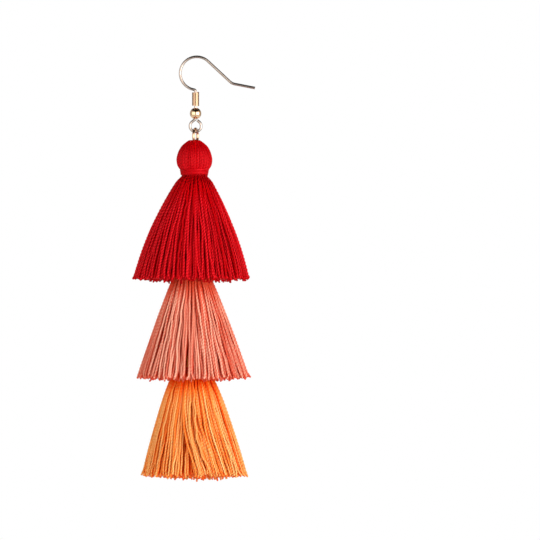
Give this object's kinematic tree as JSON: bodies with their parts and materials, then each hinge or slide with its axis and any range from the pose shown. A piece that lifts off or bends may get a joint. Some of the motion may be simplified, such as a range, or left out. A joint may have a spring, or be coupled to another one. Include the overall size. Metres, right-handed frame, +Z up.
{
  "type": "tassel earring",
  "caption": "Long drop earring: a fish-hook ear wire with coil, ball and eye, a jump ring, and fringed tassels hung one below the other, each on a bound round neck.",
  "frame": {"origin": "the middle of the wire at the top of the hook's arch, where it passes through the ear", "axes": "+Z up, with the drop hanging along -Z; +X towards the hook's tail; Y along the ear's piercing side to side, across the hook's plane"},
  "size_m": [0.032, 0.0307, 0.11],
  "materials": {
    "plated_wire": "polished pale gold plate",
    "plated_ball": "mirror-polished gold plate",
    "red_thread": "lustrous twisted thread",
    "coral_thread": "lustrous twisted thread",
    "orange_thread": "lustrous twisted thread"
  },
  "bodies": {
    "hook": {"ear_wire": "plated_wire", "wire_coil": "plated_wire", "ball_bead": "plated_ball"},
    "drop": {"jump_ring": "plated_wire", "hanging_cord": "red_thread", "red_tassel": "red_thread", "red_binding": "red_thread", "coral_tassel": "coral_thread", "coral_binding": "coral_thread", "orange_tassel": "orange_thread", "orange_binding": "orange_thread"}
  },
  "joints": [
    {"name": "drop_swing", "type": "hinge", "parent": "hook", "child": "drop", "pos_m": [-0.0003, 0, -0.01947], "axis": [1, 0, 0], "range_deg": [-100, 100]}
  ]
}
